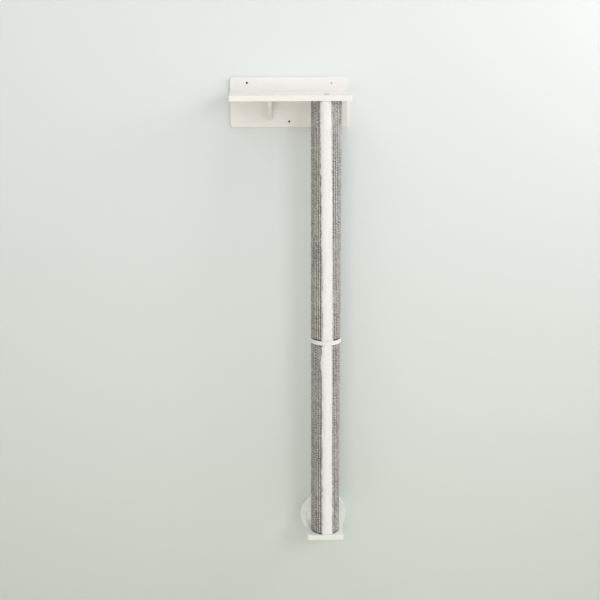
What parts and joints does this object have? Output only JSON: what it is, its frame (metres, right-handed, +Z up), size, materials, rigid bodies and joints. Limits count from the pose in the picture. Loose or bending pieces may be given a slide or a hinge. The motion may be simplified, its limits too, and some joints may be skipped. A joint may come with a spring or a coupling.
{
  "type": "cat climbing post",
  "caption": "Wall-mounted climbing and scratching post for a cat, with a shelf board on a wall plate and bracket over a round post in a ribbed woven mat that ends on a base plate and wall disc.",
  "frame": {"origin": "midway between the two upper wall-screw holes, on the back face of the wall plate", "axes": "+Z up along the post, +Y into the wall, +X to the right as seen from the room"},
  "size_m": [0.354, 0.191, 1.478],
  "materials": {
    "painted_board": "white satin paint on fibreboard",
    "ring_plastic": "white, fine satin",
    "woven_mat": "coarse grey jute weave with upright ribs",
    "plush": "warm white, short pile",
    "cardboard": "raw wound board",
    "plug_wood": "raw turned wood",
    "zinc_steel": "bright zinc plate"
  },
  "bodies": {
    "root": {"wall_plate": "painted_board", "platform_board": "painted_board", "bracket": "painted_board", "base_plate": "painted_board", "wall_disc": "painted_board", "joint_ring": "ring_plastic", "joint_stud": "zinc_steel", "top_bolt": "zinc_steel", "top_washer": "zinc_steel", "base_bolt": "zinc_steel", "base_washer": "zinc_steel", "bracket_dowels": "plug_wood", "platform_screws": "zinc_steel", "bracket_screws": "zinc_steel", "base_screws": "zinc_steel", "upper_tube": "cardboard", "upper_woven_cover": "woven_mat", "upper_plush_strip": "plush", "upper_top_plug": "plug_wood", "upper_bottom_plug": "plug_wood", "upper_thread_inserts": "zinc_steel", "lower_tube": "cardboard", "lower_woven_cover": "woven_mat", "lower_plush_strip": "plush", "lower_top_plug": "plug_wood", "lower_bottom_plug": "plug_wood", "lower_thread_inserts": "zinc_steel"}
  },
  "joints": []
}
